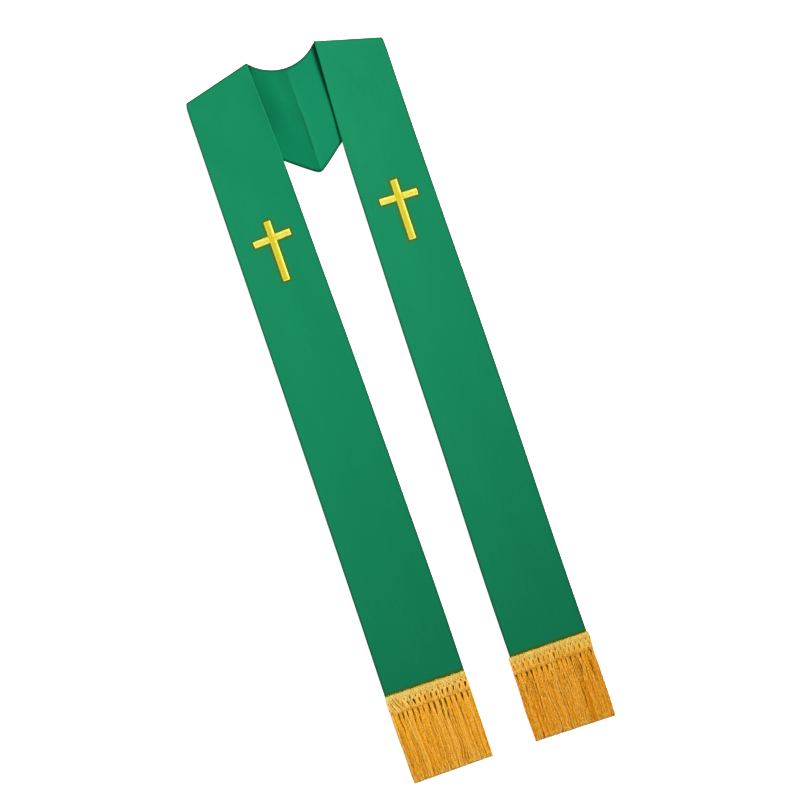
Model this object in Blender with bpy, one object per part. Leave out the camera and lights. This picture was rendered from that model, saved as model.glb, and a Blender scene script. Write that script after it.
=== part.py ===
"""A clerical stole laid out flat, face up.

Each half is one strip, from the centre-back seam over its shoulder down to a fringed hem. The two
fronts are folded over at the shoulders and lie on the back neck, whose lining shows between them.
+Y points to the neck, +Z up from the surface that the stole lies on, and the origin is on that
surface, at the middle of the outline.
"""

from collections import namedtuple
from math import asin, cos, hypot, pi, radians, sin, tan
import random

import bmesh
import bpy
from mathutils import Vector

MM = 0.001  # every size below is in millimetres, and Blender's unit is the metre

# A place in the cut is given by "out", its distance from the centre-back seam, and "drop", its
# distance below the neck line, which joins the two neck points.
LENGTH = 1271.6  # neck line to the tips of the fringe
SEAM_X = 3.7  # the centre-back seam, right of the middle of the outline

WALL = 1.0  # thickness of each layer of cloth
GAP = 0.3  # between layers, and across a seam
LAYER = WALL + GAP
MIDDLE = WALL + GAP / 2  # from a half's outside to the surface between its cloth and its lining
LINING_INSET = 1.0  # the lining stops this far inside the outer cloth's edges

NECK_HALF_WIDTH = 60.8  # centre-back seam to neck point
NECK_DROP = 27.2  # neck line to the top of the centre-back seam
NECK_RADIUS = (NECK_HALF_WIDTH**2 + NECK_DROP**2) / (2 * NECK_DROP)
NECK_ANGLE = asin(NECK_HALF_WIDTH / NECK_RADIUS)

TIP_DROP = 218.0  # neck line to the point of the back
TIP_SLOPE = radians(38)  # of the back's lower edges at the point, from level
TIP_ROUND = 4.3  # how far rounding cuts the point short
TIP_PULL = 78.0  # how far each lower edge keeps to that slope
SHOULDER_SLOPE = radians(65)  # of the same edges at the shoulders, from level
SHOULDER_PULL = 87.0

FAN = 60.0  # lines across the back run parallel to the fold at first, then fan round to the seam
HEM_SHARE = 0.23  # how fast they start along the lower edge, as a share of its whole

SHOULDER_LOOP = 2.5  # radius of the soft turn at the outer end of a shoulder fold
FALL = 45.0  # length over which cloth comes down from a fold or off a layer below it

BACK_STEPS = (1.0, 0.86, 0.72, 0.58, 0.45, 0.33, 0.22, 0.12, 0.04)
LOOP_STEPS = 8
FRONT_STEPS = (6, 13, 22, 33, 46, 61, 80, 102, 128, 158, 192, 230, 275, 400, 550, 700, 850, 1000)
ACROSS_STEPS = 8

HEADING_HEIGHT = 43.0
HEADING_ON_CLOTH = 18.0  # the part of the heading that lies over the hem
HEADING_BUNCHES = 14
BUNCH_STRANDS = 8
STRAND_SEGMENTS = 4
STRAND_WIDTH = 1.1
STRAND_DEPTH = 1.0
STRAND_INSET = 0.1  # between a strand and the heading's faces
STRAND_SWAY = 2.4
STRAND_GATHER = 0.12  # how far the strands of a bunch draw together halfway down
STRAND_UNEVEN = 3.0  # the tips end this much apart

Edge = namedtuple("Edge", "drop inner outer")
Course = namedtuple("Course", "below under over groove")
Half = namedtuple(
    "Half",
    "name sign neck_rise shoulder_out shoulder_drop neck_loop neck_fall edges heading_drop "
    "heading_inner heading_outer strands_in sway_turns cross_out cross_drop cross_lean",
)

# The two edges of each front, as "out" at each drop.
LEFT_EDGES = (
    Edge(0, 60.8, 176.0),
    Edge(33, 59.6, 182.6),
    Edge(45, 59.1, 184.3),
    Edge(104, 56.5, 184.7),
    Edge(190, 53.8, 184.9),
    Edge(346, 51.0, 184.8),
    Edge(554, 46.9, 184.9),
    Edge(761, 44.6, 185.4),
    Edge(969, 42.4, 186.4),
    Edge(1140, 42.9, 188.0),
)
RIGHT_EDGES = (
    Edge(0, 60.8, 169.0),
    Edge(32, 59.4, 175.2),
    Edge(45, 58.6, 176.3),
    Edge(104, 55.4, 176.4),
    Edge(190, 51.0, 176.4),
    Edge(346, 47.5, 177.3),
    Edge(554, 44.1, 178.9),
    Edge(761, 42.3, 179.0),
    Edge(969, 38.8, 178.2),
    Edge(1140, 38.6, 179.1),
)

LEFT = Half(
    name="left",
    sign=-1,
    neck_rise=1.9,
    shoulder_out=181.9,
    shoulder_drop=30.6,
    neck_loop=3.2,
    neck_fall=80.0,
    edges=LEFT_EDGES,
    heading_drop=1113.6,
    heading_inner=42.1,
    heading_outer=189.3,
    strands_in=0.3,
    sway_turns=1.3,
    cross_out=116.6,
    cross_drop=299.1,
    cross_lean=radians(1.2),
)
RIGHT = Half(
    name="right",
    sign=1,
    neck_rise=0.0,
    shoulder_out=175.0,
    shoulder_drop=31.0,
    neck_loop=5.4,
    neck_fall=190.0,
    edges=RIGHT_EDGES,
    heading_drop=1118.1,
    heading_inner=35.1,
    heading_outer=182.0,
    strands_in=1.7,
    sway_turns=1.9,
    cross_out=114.0,
    cross_drop=301.0,
    cross_lean=radians(0.4),
)

# The heading's section, from its upper edge down: the heights of its underside and its top, and
# the depth of the grooves between its bunches.
HEADING_COURSES = (
    Course(0.0, 2.6, 4.1, 0.0),
    Course(2.0, 2.6, 4.8, 0.0),
    Course(13.0, 2.6, 4.8, 0.0),
    Course(16.0, 2.6, 4.3, 0.3),
    Course(19.0, 2.6, 4.4, 0.3),
    Course(23.0, 1.8, 4.1, 1.3),
    Course(29.5, 0.6, 3.7, 0.3),
    Course(37.0, 0.4, 3.3, 1.3),
    Course(HEADING_HEIGHT, 0.4, 3.1, 0.0),
)

CROSS_HEIGHT = 108.0
CROSS_WIDTH = 70.0
CROSS_UPRIGHT = 13.6
CROSS_BAR = 13.0
CROSS_BAR_DROP = 32.2  # top of the cross to the middle of its bar
CROSS_RISE = 0.9
CROSS_SHOULDER = 2.0  # width of its rounded border


def fall(share):
    """1 at share 0, easing down to 0 at share 1 and beyond."""
    return 0.5 + 0.5 * cos(pi * min(max(share, 0.0), 1.0))


def mix(a, b, share):
    return a + (b - a) * share


def smooth_line(rows, at, column):
    """A column's value where the first column is at, on a smooth line through all the rows."""
    k = sum(row[0] <= at for row in rows[1:-1])
    a, b = rows[k], rows[k + 1]
    before, after = rows[max(k - 1, 0)], rows[min(k + 2, len(rows) - 1)]
    span = b[0] - a[0]
    share = (at - a[0]) / span
    slope_a = (b[column] - before[column]) / (b[0] - before[0]) * span
    slope_b = (after[column] - a[column]) / (after[0] - a[0]) * span
    rise = b[column] - a[column]
    return (
        a[column]
        + slope_a * share
        + (3 * rise - 2 * slope_a - slope_b) * share**2
        + (slope_a + slope_b - 2 * rise) * share**3
    )


def neck_edge(half, share):
    """(out, drop) on the back neck's arc, from the neck point to the seam."""
    angle = NECK_ANGLE * (1 - share)
    drop = NECK_DROP - NECK_RADIUS * (1 - cos(angle)) - half.neck_rise * (1 - share) ** 2
    return Vector((NECK_RADIUS * sin(angle), drop))


def lower_edge(half, share):
    """(out, drop) on the back's lower edge, from the shoulder fold to the point at the seam."""
    shoulder = Vector((half.shoulder_out, half.shoulder_drop))
    tip = Vector((0.0, TIP_DROP + TIP_ROUND))
    handle_a = shoulder + SHOULDER_PULL * Vector((-cos(SHOULDER_SLOPE), sin(SHOULDER_SLOPE)))
    handle_b = tip - TIP_PULL * Vector((-cos(TIP_SLOPE), sin(TIP_SLOPE)))
    rest = 1 - share
    place = (
        rest**3 * shoulder
        + 3 * rest**2 * share * handle_a
        + 3 * rest * share**2 * handle_b
        + share**3 * tip
    )
    side = place.x * tan(TIP_SLOPE)
    place.y -= hypot(TIP_ROUND, side) - side
    return place


def lower_edge_drop(half, out):
    """The drop of the back's lower edge at a distance out."""
    line = [lower_edge(half, k / 40) for k in range(41)]
    for a, b in zip(line, line[1:]):
        if b.x <= out <= a.x:
            return mix(a.y, b.y, (a.x - out) / (a.x - b.x))
    return line[0].y


def back_place(half, share, across):
    """(out, drop) in the back, from the fold at share 0 to the seam at share 1."""
    lower = lower_edge(half, share * mix(HEM_SHARE, 1, share))
    return neck_edge(half, share).lerp(lower, across)


def front_place(half, reach, across):
    """(out, drop) in the front, at a distance from the shoulder fold."""
    hem = half.heading_drop + HEADING_ON_CLOTH
    inner_drop = reach - half.neck_rise * (1 - reach / hem)
    outer_drop = half.shoulder_drop + reach * (1 - half.shoulder_drop / hem)
    inner = Vector((smooth_line(half.edges, inner_drop, 1), inner_drop))
    outer = Vector((smooth_line(half.edges, outer_drop, 2), outer_drop))
    return inner.lerp(outer, across)


def point(half, place, height):
    """A point in the stole's own frame, in metres, from (out, drop) and its height."""
    x = SEAM_X + half.sign * (place.x + GAP / 2)
    y = LENGTH / 2 - place.y
    return Vector((x, y, height)) * MM


def middle_line(half, across, hem):
    """Points from seam to hem on the surface between outer cloth and lining.

    It runs flat along the back, turns over in the shoulder fold and comes down on the back's two
    layers, then past their lower edge on to the surface that the stole lies on.
    """
    slack = (1 - across) ** 2
    loop = mix(SHOULDER_LOOP, half.neck_loop, slack)
    length_of_fall = mix(FALL, half.neck_fall, slack)
    turn = loop + MIDDLE
    line = []
    for step in BACK_STEPS:
        share = mix(turn / FAN, 1, step)
        line.append(point(half, back_place(half, share, across), MIDDLE))
    for k in range(LOOP_STEPS + 1):
        angle = pi * k / LOOP_STEPS
        reach = turn - loop * sin(angle)
        back = back_place(half, reach / FAN, across)
        front = front_place(half, reach, across)
        height = MIDDLE + loop * (1 - cos(angle))
        line.append(point(half, back.lerp(front, k / LOOP_STEPS), height))
    for step in (*FRONT_STEPS, hem):
        reach = turn + step * (hem - turn) / hem
        place = front_place(half, reach, across)
        past_back = place.y - lower_edge_drop(half, place.x)
        layers = 2 * LAYER * fall(past_back / FALL)
        arch = (2 * loop - 2 * LAYER) * fall((reach - turn) / length_of_fall)
        line.append(point(half, place, MIDDLE + layers + arch))
    return line


def middle_surface(half, inset):
    """Lines across the surface between cloth and lining, each point with its normal.

    The normals point out of the stole on the outer cloth's side.
    """
    hem = half.heading_drop + HEADING_ON_CLOTH - inset
    width = half.shoulder_out - NECK_HALF_WIDTH
    edge = inset / width
    shares = [mix(edge, 1 - edge, k / ACROSS_STEPS) for k in range(ACROSS_STEPS + 1)]
    lines = list(zip(*(middle_line(half, share, hem) for share in shares)))
    rows = []
    last_row, last_column = len(lines) - 1, ACROSS_STEPS
    for i, line in enumerate(lines):
        row = []
        for k, place in enumerate(line):
            along = lines[min(i + 1, last_row)][k] - lines[max(i - 1, 0)][k]
            across = line[min(k + 1, last_column)] - line[max(k - 1, 0)]
            row.append((place, -half.sign * across.cross(along).normalized()))
        rows.append(row)
    return rows


def wall(rows, near, far):
    """A closed wall between two distances from a surface, as rings joined along the strip."""
    mesh = bmesh.new()
    rings = []
    for row in rows:
        outside = [mesh.verts.new(place + normal * far * MM) for place, normal in row]
        inside = [mesh.verts.new(place + normal * near * MM) for place, normal in reversed(row)]
        rings.append(outside + inside)
    count = len(rings[0])
    for ring, following in zip(rings, rings[1:]):
        for k in range(count):
            n = (k + 1) % count
            mesh.faces.new((ring[k], ring[n], following[n], following[k]))
    for ring in (rings[0], rings[-1]):
        for k in range(count // 2 - 1):
            mesh.faces.new((ring[k], ring[k + 1], ring[-k - 2], ring[-k - 1]))
    return mesh


def cross_shape():
    """A plain cross on its own middle, its stitching rounded down to a thin border."""
    half_bar, half_upright = CROSS_WIDTH / 2, CROSS_UPRIGHT / 2
    top = CROSS_BAR_DROP
    foot = CROSS_BAR_DROP - CROSS_HEIGHT
    upper, lower = CROSS_BAR / 2, -CROSS_BAR / 2
    right_side = [
        (half_upright, foot),
        (half_upright, lower),
        (half_bar, lower),
        (half_bar, upper),
        (half_upright, upper),
        (half_upright, top),
    ]
    outline = right_side + [(-x, y) for x, y in reversed(right_side)]
    mesh = bmesh.new()
    base = mesh.faces.new([mesh.verts.new((x * MM, y * MM, 0)) for x, y in outline])
    sides = bmesh.ops.extrude_face_region(mesh, geom=[base])
    top_face = [g for g in sides["geom"] if isinstance(g, bmesh.types.BMFace)][0]
    bmesh.ops.translate(mesh, verts=top_face.verts, vec=(0, 0, CROSS_RISE / 2 * MM))
    bmesh.ops.inset_region(
        mesh,
        faces=[top_face],
        thickness=CROSS_SHOULDER * MM,
        depth=CROSS_RISE / 2 * MM,
        use_even_offset=True,
    )
    return mesh


def heading(mesh, width):
    """The braided heading as a closed strip, without its lower end. Returns that end's two lines.

    It has two panels for each bunch of strands, with a groove on every second line between them,
    and its last line has one point for each strand.
    """
    panels = 2 * HEADING_BUNCHES
    strands_a_panel = BUNCH_STRANDS // 2

    def line(course, columns):
        made = ([], [])
        for k in range(columns + 1):
            x = width * (k / columns - 0.5)
            dip = course.groove if k % 2 == 0 else 0.0
            for verts, z in zip(made, (course.over - dip, course.under)):
                verts.append(mesh.verts.new((x * MM, -course.below * MM, z * MM)))
        return made

    lines = [line(course, panels) for course in HEADING_COURSES[:-1]]
    last = line(HEADING_COURSES[-1], panels * strands_a_panel)
    for (over, under), (next_over, next_under) in zip(lines, lines[1:]):
        for k in range(panels):
            mesh.faces.new((over[k], over[k + 1], next_over[k + 1], next_over[k]))
            mesh.faces.new((under[k], next_under[k], next_under[k + 1], under[k + 1]))
        for k in (0, -1):
            mesh.faces.new((over[k], next_over[k], next_under[k], under[k]))
    first_over, first_under = lines[0]
    for k in range(panels):
        mesh.faces.new((first_over[k], first_under[k], first_under[k + 1], first_over[k + 1]))
        fine = range(k * strands_a_panel, (k + 1) * strands_a_panel + 1)
        for coarse, ends in zip(lines[-1], last):
            mesh.faces.new((coarse[k + 1], coarse[k], *(ends[n] for n in fine)))
    return lines[-1], last


def fringe_shape(half):
    """A heading with its strands, in two layers, drawn out of the heading's lower end.

    The strands of the upper layer lie over the gaps of the lower one. Each layer sways as one, so
    that its strands stay apart.
    """
    width = half.heading_outer - half.heading_inner
    mesh = bmesh.new()
    coarse, (over, under) = heading(mesh, width)
    end = HEADING_COURSES[-1]
    halfway = (end.over + end.under) / 2
    middle = [mesh.verts.new((v.co.x, v.co.y, halfway * MM)) for v in over]
    for k in (0, -1):
        mesh.faces.new((coarse[0][k], over[k], middle[k], under[k], coarse[1][k]))
    uneven = random.Random(half.name)
    reach = LENGTH - half.heading_drop - HEADING_HEIGHT
    for k in range(len(over) - 1):
        upper = (over[k], over[k + 1], middle[k + 1], middle[k])
        lower = (middle[k], middle[k + 1], under[k + 1], under[k])
        in_upper_layer = k % 2 == 0
        root, bare = (upper, lower) if in_upper_layer else (lower, upper)
        mesh.faces.new(bare)
        inset = STRAND_INSET + STRAND_DEPTH / 2
        height = end.over - inset if in_upper_layer else end.under + inset
        long = reach - uneven.uniform(0, STRAND_UNEVEN)
        strand(mesh, half, root, height, long, width, in_upper_layer)
    return mesh


def strand(mesh, half, root, height, long, width, in_upper_layer):
    """One strand, as four-sided sections from its root to a closed tip."""
    start = sum((v.co for v in root), Vector()) / len(root) / MM
    bunch_width = width / HEADING_BUNCHES
    bunch = (int((start.x + width / 2) / bunch_width) + 0.5) * bunch_width - width / 2
    turns = half.sway_turns if in_upper_layer else -half.sway_turns
    phase = 2 * pi * turns * start.x / width
    ring = root
    for step in range(1, STRAND_SEGMENTS + 1):
        share = step / STRAND_SEGMENTS
        sway = sin(phase + 2 * pi * share) - sin(phase)
        gathered = STRAND_GATHER * (bunch - start.x) * sin(pi * share)
        free = STRAND_SWAY / 2 * sway * share * fall(2 * abs(start.x) / width)
        x = start.x + gathered + free - half.sign * half.strands_in * share
        y = start.y - long * share
        w, d = STRAND_WIDTH / 2, STRAND_DEPTH / 2
        corners = ((-w, d), (w, d), (w, -d), (-w, -d))
        following = [mesh.verts.new((MM * (x + a), MM * y, MM * (height + b))) for a, b in corners]
        for k in range(4):
            n = (k + 1) % 4
            mesh.faces.new((ring[k], ring[n], following[n], following[k]))
        ring = following
    mesh.faces.new(ring)


def material(name, colour, roughness):
    """A Principled material; colour is linear."""
    made = bpy.data.materials.new(name)
    made.use_nodes = True
    shader = made.node_tree.nodes["Principled BSDF"]
    shader.inputs["Base Color"].default_value = (*colour, 1)
    shader.inputs["Roughness"].default_value = roughness
    shader.inputs["Metallic"].default_value = 0
    return made


def add(name, mesh, place, finish, turn=0.0):
    """A named object from a bmesh, with its origin at a place in the stole's frame."""
    bmesh.ops.recalc_face_normals(mesh, faces=mesh.faces)
    data = bpy.data.meshes.new(name)
    mesh.to_mesh(data)
    mesh.free()
    data.materials.append(finish)
    data.shade_smooth()
    data.set_sharp_from_angle(angle=radians(40))
    made = bpy.data.objects.new(name, data)
    made.location = place
    made.rotation_euler.z = turn
    bpy.context.collection.objects.link(made)
    return made


def clear_scene():
    for old in list(bpy.data.objects):
        bpy.data.objects.remove(old)


def build_half(half):
    green = material(f"outer_cloth_{half.name}", (0.008, 0.26, 0.115), 0.7)
    lining_green = material(f"lining_cloth_{half.name}", (0.009, 0.23, 0.1), 0.65)
    gold = material(f"fringe_thread_{half.name}", (0.68, 0.32, 0.04), 0.55)
    yellow = material(f"embroidery_thread_{half.name}", (0.8, 0.56, 0.05), 0.4)

    cloth = wall(middle_surface(half, 0.0), GAP / 2, MIDDLE)
    lining = wall(middle_surface(half, LINING_INSET), -GAP / 2, -MIDDLE)
    face_top = 2 * WALL + GAP
    cross_at = point(half, Vector((half.cross_out, half.cross_drop)), face_top + GAP)
    heading_middle = (half.heading_inner + half.heading_outer) / 2
    fringe_at = point(half, Vector((heading_middle, half.heading_drop)), 0.0)
    return [
        add(f"strip_{half.name}", cloth, (0, 0, 0), green),
        add(f"lining_{half.name}", lining, (0, 0, 0), lining_green),
        add(f"cross_{half.name}", cross_shape(), cross_at, yellow, half.cross_lean),
        add(f"fringe_{half.name}", fringe_shape(half), fringe_at, gold),
    ]


def main():
    clear_scene()
    stole = bpy.data.objects.new("stole", None)
    bpy.context.collection.objects.link(stole)
    for half in (LEFT, RIGHT):
        for piece in build_half(half):
            piece.parent = stole


main()
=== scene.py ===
"""How the clerical stole looks: pressed woven cloth, satin-stitched crosses and braided fringes.

It lies face up on a pale floor. Each half is one strip of cloth with its lining, from the
centre-back seam over the shoulder down to a fringed hem. Sizes are in millimetres and become metres
where the points of a mesh are written. A place in the cut is given by "out", its distance from the
centre-back seam, and "drop", its distance below the line that joins the two neck points.
"""

from collections import namedtuple
from math import asin, cos, hypot, pi, radians, sin, tan, tau

import bpy
import numpy as np
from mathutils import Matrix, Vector


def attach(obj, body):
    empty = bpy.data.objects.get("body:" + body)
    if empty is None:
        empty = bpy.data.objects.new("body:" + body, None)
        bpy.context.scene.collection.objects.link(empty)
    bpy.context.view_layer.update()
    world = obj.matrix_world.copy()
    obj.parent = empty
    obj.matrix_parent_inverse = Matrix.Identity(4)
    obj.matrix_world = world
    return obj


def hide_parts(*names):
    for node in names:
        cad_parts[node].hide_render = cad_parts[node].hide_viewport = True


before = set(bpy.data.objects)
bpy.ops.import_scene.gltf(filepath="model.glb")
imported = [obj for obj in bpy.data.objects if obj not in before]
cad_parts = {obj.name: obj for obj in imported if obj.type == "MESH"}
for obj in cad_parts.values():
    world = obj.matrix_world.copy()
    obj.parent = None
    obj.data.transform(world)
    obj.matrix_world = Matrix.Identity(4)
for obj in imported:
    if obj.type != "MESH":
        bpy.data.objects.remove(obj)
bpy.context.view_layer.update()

MM = 0.001

# The cut, as the solids have it.
LENGTH = 1271.6  # neck line to the tips of the fringe
SEAM_X = 3.7
WALL = 1.0
GAP = 0.3
LAYER = WALL + GAP
MIDDLE = WALL + GAP / 2  # from a half's outside to the surface between its cloth and its lining
LINING_INSET = 1.0
NECK_HALF_WIDTH = 60.8
NECK_DROP = 27.2
NECK_RADIUS = (NECK_HALF_WIDTH**2 + NECK_DROP**2) / (2 * NECK_DROP)
NECK_ANGLE = asin(NECK_HALF_WIDTH / NECK_RADIUS)
TIP_DROP = 218.0
TIP_SLOPE = radians(38)
TIP_ROUND = 4.3
TIP_PULL = 78.0  # this and the shoulder's are the handles of the lower edge's curve
SHOULDER_SLOPE = radians(65)
SHOULDER_PULL = 87.0
FAN = 60.0  # lines across the back run parallel to the fold at first, then fan round to the seam
FAN_START = 0.23  # how fast those lines spread along the lower edge at first
SHOULDER_LOOP = 2.5
FALL = 45.0  # past the shoulder fold, its loop sinks flat over this length
LAYER_FALL = 120.0  # the stiff fronts come down off the back's edge over this length
HEADING_ON_CLOTH = 18.0

# The stitches of the cross, which round off a little inside its solid.
CROSS_HEIGHT = 107.5
CROSS_WIDTH = 67.0
CROSS_UPRIGHT = 12.75
CROSS_BAR = 11.8
CROSS_BAR_DROP = 31.1


def table(row, *rows):
    """A short table, each of its rows with the columns of a namedtuple."""
    return tuple(row(*values) for values in rows)


# Down each front: how far out its edges lie.
Edge = namedtuple("Edge", "drop inner outer")
LEFT_EDGES = table(
    Edge,
    (0, 60.8, 176.0),
    (33, 59.6, 182.6),
    (45, 59.1, 184.3),
    (104, 56.5, 184.7),
    (190, 53.8, 184.9),
    (346, 51.0, 184.8),
    (554, 46.9, 184.9),
    (761, 44.6, 185.4),
    (969, 42.4, 186.4),
    (1140, 42.9, 188.0),
)
RIGHT_EDGES = table(
    Edge,
    (0, 60.8, 169.0),
    (32, 59.4, 175.2),
    (45, 58.6, 176.3),
    (104, 55.4, 176.4),
    (190, 51.0, 176.4),
    (346, 47.5, 177.3),
    (554, 44.1, 178.9),
    (761, 42.3, 179.0),
    (969, 38.8, 178.2),
    (1140, 38.6, 179.1),
)

# Soft ridges that the cloth keeps from being folded away: the middle of each, half its length and
# half its width, how far it turns from the strip's length, and its rise.
Crease = namedtuple("Crease", "panel out drop long wide turn rise")
LEFT_CREASES = table(
    Crease,
    ("back", 31, 84, 62, 27, -5, 5.6),
    ("back", 120, 60, 40, 16, 35, 0.8),
    ("front", 150, 250, 70, 24, 14, 0.7),
    ("front", 82, 390, 90, 20, -7, 0.6),
    ("front", 158, 540, 110, 26, 5, 0.8),
    ("front", 100, 735, 95, 28, 10, 0.9),
    ("front", 66, 905, 80, 18, -5, 0.6),
    ("front", 140, 1010, 85, 26, 8, 0.8),
)
RIGHT_CREASES = table(
    Crease,
    ("front", 57, 165, 75, 20, 3, 1.4),
    ("back", 52, 150, 40, 14, 20, 0.6),
    ("back", 112, 70, 45, 18, 28, 0.8),
    ("front", 92, 215, 65, 20, -12, 0.6),
    ("front", 150, 330, 80, 26, 9, 0.7),
    ("front", 74, 470, 95, 22, -6, 0.7),
    ("front", 128, 650, 120, 28, 8, 0.9),
    ("front", 70, 830, 90, 22, -4, 0.8),
    ("front", 142, 960, 95, 24, 6, 0.9),
    ("front", 92, 1050, 60, 20, -10, 0.5),
)

# Across each half of the back: the painted shade beside the neck folds, as a way in from a pressed edge.
Shade = namedtuple("Shade", "out way")
LEFT_NECK_SHADE = table(
    Shade, (5, 2.9), (16, 3.1), (24, 3.9), (34, 3.6), (45, 3.4), (52, 3.0), (59, 2.4)
)
RIGHT_NECK_SHADE = table(Shade, (44, 4.4), (59, 3.4))

# Along each heading from its inner end: the slits where its bunches of cord part, in an upper and a
# lower row. Further down, the lines where strands hang drawn apart.
Slit = namedtuple("Slit", "along opening")
Parting = namedtuple("Parting", "along below half_length lean opening")

# How far the fringe's inner and outer sides are drawn in, at places below its heading's top.
Side = namedtuple("Side", "below drawn_in")

# Also: how much higher than on the left the rows of slits lie, and how long the lower slits are; how
# far the cords move outward over 10 mm beside the upper slits, at five places along; how much
# shorter than the longest the fringe is cut at its inner side; and how untidy its strands are.
Heading = namedtuple(
    "Heading", "upper_slits lower_slits partings raised slit_length leans inner outer cut untidy"
)

LEFT_HEADING = Heading(
    upper_slits=table(
        Slit, (6, 5.5), (17, 3), (28, 3), (39, 3), (48, 3), (59, 3), (69, 3),
        (80, 3), (90, 3), (100, 5), (111, 3), (120, 2.5), (131, 1.5), (141, 2),
    ),
    lower_slits=table(
        Slit, (8, 3), (18, 4.5), (29, 4), (39, 2.5), (49, 4), (58, 5), (69, 4),
        (79, 3.5), (89, 2.5), (99, 4.5), (108, 3), (118, 3), (126, 3.5), (134, 3),
    ),
    partings=table(
        Parting,
        (133, 56, 9, -0.25, 1.2),
        (122, 84, 36, -0.05, 1.5),
        (109, 52, 8, 0, 1.0),
        (100, 56, 10, 0, 1.2),
        (101, 96, 10, 0, 1.3),
        (85, 112, 36, 0.08, 0.9),
        (80, 48, 8, 0, 1.2),
        (69, 50, 8, 0, 0.8),
        (59, 62, 16, 0, 1.4),
        (51, 62, 9, 0.05, 1.3),
        (43, 70, 16, 0.05, 1.1),
        (51, 128, 22, 0.2, 0.9),
        (28, 74, 26, -0.05, 1.1),
        (13, 106, 24, 0.08, 1.3),
        (140, 97, 28, 0, 1.2),
        (116, 118, 24, 0, 0.8),
        (7, 88, 22, 0, 0.7),
    ),
    raised=0.0,
    slit_length=12.5,
    leans=(2.2, 2.4, 0.8, -2.0, -5.0),
    inner=table(Side, (0, 0.4), (155, 0.6)),
    outer=table(
        Side, (0, 1.5), (12, 0.8), (20, 0.4), (28, 1.1), (80, 1.0), (97, 1.9), (155, 2.0)
    ),
    cut=2.0,
    untidy=1.0,
)
RIGHT_HEADING = Heading(
    upper_slits=table(
        Slit, (3, 1.5), (12, 1.5), (21, 2), (30, 1), (39, 2.5), (49, 2.5), (58, 1.5), (67, 2),
        (77, 2.5), (86, 1.5), (96, 1.5), (105, 1.5), (115, 1.5), (124, 1.5), (133, 1.5),
        (143, 2.5),
    ),
    lower_slits=table(
        Slit, (3, 3.5), (13, 2.5), (22, 5), (31, 4.5), (41, 2.5), (50, 4), (60, 4), (69, 3),
        (78, 2.5), (87, 2.5), (95, 2.5), (103, 3.5), (112, 2), (122, 4), (130, 2), (141, 3.5),
    ),
    partings=table(
        Parting,
        (134, 66, 24, 0, 1.5),
        (134, 124, 24, 0, 1.0),
        (117, 50, 12, 0.1, 1.4),
        (110, 94, 24, 0.05, 1.3),
        (89, 72, 20, 0, 0.9),
        (83, 62, 7, 0, 1.4),
        (72, 104, 28, 0.05, 1.3),
        (64, 51, 9, 0.1, 1.4),
        (52, 106, 38, 0.12, 1.0),
        (31, 86, 34, 0, 1.7),
        (14, 60, 10, 0.05, 1.6),
        (15, 96, 11, 0, 1.2),
        (5, 78, 11, 0, 1.2),
        (104, 60, 9, 0.1, 0.9),
    ),
    raised=2.4,
    slit_length=8.5,
    leans=(0.8, -0.6, 0.7, -0.3, 1.2),
    inner=table(
        Side, (0, 0.7), (15, 0.9), (30, 0.4), (58, 0.3), (76, -0.4), (105, -1.1), (128, -0.5),
        (155, -0.9),
    ),
    outer=table(
        Side, (10, 0.2), (24, 1.5), (34, 2.2), (46, 2.2), (58, 1.7), (127, 1.6), (141, 2.4)
    ),
    cut=1.4,
    untidy=1.4,
)

# Each half, left and then right: how it lies, where its heading and cross were sewn on, the marks
# that pressing has left on it, and the painted shade along its seam and beside its neck folds.
HALVES = {
    "name": ("left", "right"),
    "sign": (-1, 1),
    "neck_rise": (1.9, 0.0),
    "shoulder_out": (181.9, 175.0),
    "shoulder_drop": (30.6, 31.0),
    "neck_loop": (3.2, 5.4),
    "neck_fall": (80.0, 150.0),
    "curl_from": (240.0, 210.0),
    "edges": (LEFT_EDGES, RIGHT_EDGES),
    "heading": (LEFT_HEADING, RIGHT_HEADING),
    "heading_drop": (1113.6, 1118.1),
    "heading_inner": (42.1, 35.1),
    "heading_outer": (189.3, 182.0),
    "cross_out": (116.6, 113.3),
    "cross_drop": (299.5, 301.9),
    "upright_lean": (radians(0.3), radians(-0.5)),
    "bar_lean": (radians(2.9), radians(-1.6)),
    "seam_tuck": (0.25, 0.45),
    "seam_ridge": (0.4, 0.8),
    "seam_shade": (1.0, 0.4),
    "seam_shade_from": (36, 78),
    "neck_shade": (LEFT_NECK_SHADE, RIGHT_NECK_SHADE),
    "neck_shade_to": (120, 52),
    "corner_shade": (-2.0, 9.0),
    "creases": (LEFT_CREASES, RIGHT_CREASES),
    "outer_area": (0.1765, 0.171),
    "lining_area": (0.1735, 0.168),
}
Half = namedtuple("Half", HALVES)


# The surface between cloth and lining


def fall(share):
    """1 at share 0, easing down to 0 at share 1 and beyond."""
    return 0.5 + 0.5 * np.cos(pi * np.clip(share, 0.0, 1.0))


def mix(a, b, share):
    return a + (b - a) * share


def smooth_line(rows, at, column):
    """A column's value where the first column is at, on a smooth line through all the rows."""
    k = sum(row[0] <= at for row in rows[1:-1])
    a, b = rows[k], rows[k + 1]
    before, after = rows[max(k - 1, 0)], rows[min(k + 2, len(rows) - 1)]
    span = b[0] - a[0]
    share = (at - a[0]) / span
    slope_a = (b[column] - before[column]) / (b[0] - before[0]) * span
    slope_b = (after[column] - a[column]) / (after[0] - a[0]) * span
    rise = b[column] - a[column]
    return (
        a[column]
        + slope_a * share
        + (3 * rise - 2 * slope_a - slope_b) * share**2
        + (slope_a + slope_b - 2 * rise) * share**3
    )


def neck_edge(half, share):
    """(out, drop) on the back neck's arc, from the neck point to the seam."""
    angle = NECK_ANGLE * (1 - share)
    drop = NECK_DROP - NECK_RADIUS * (1 - cos(angle)) - half.neck_rise * (1 - share) ** 2
    return np.array((NECK_RADIUS * sin(angle), drop))


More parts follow.
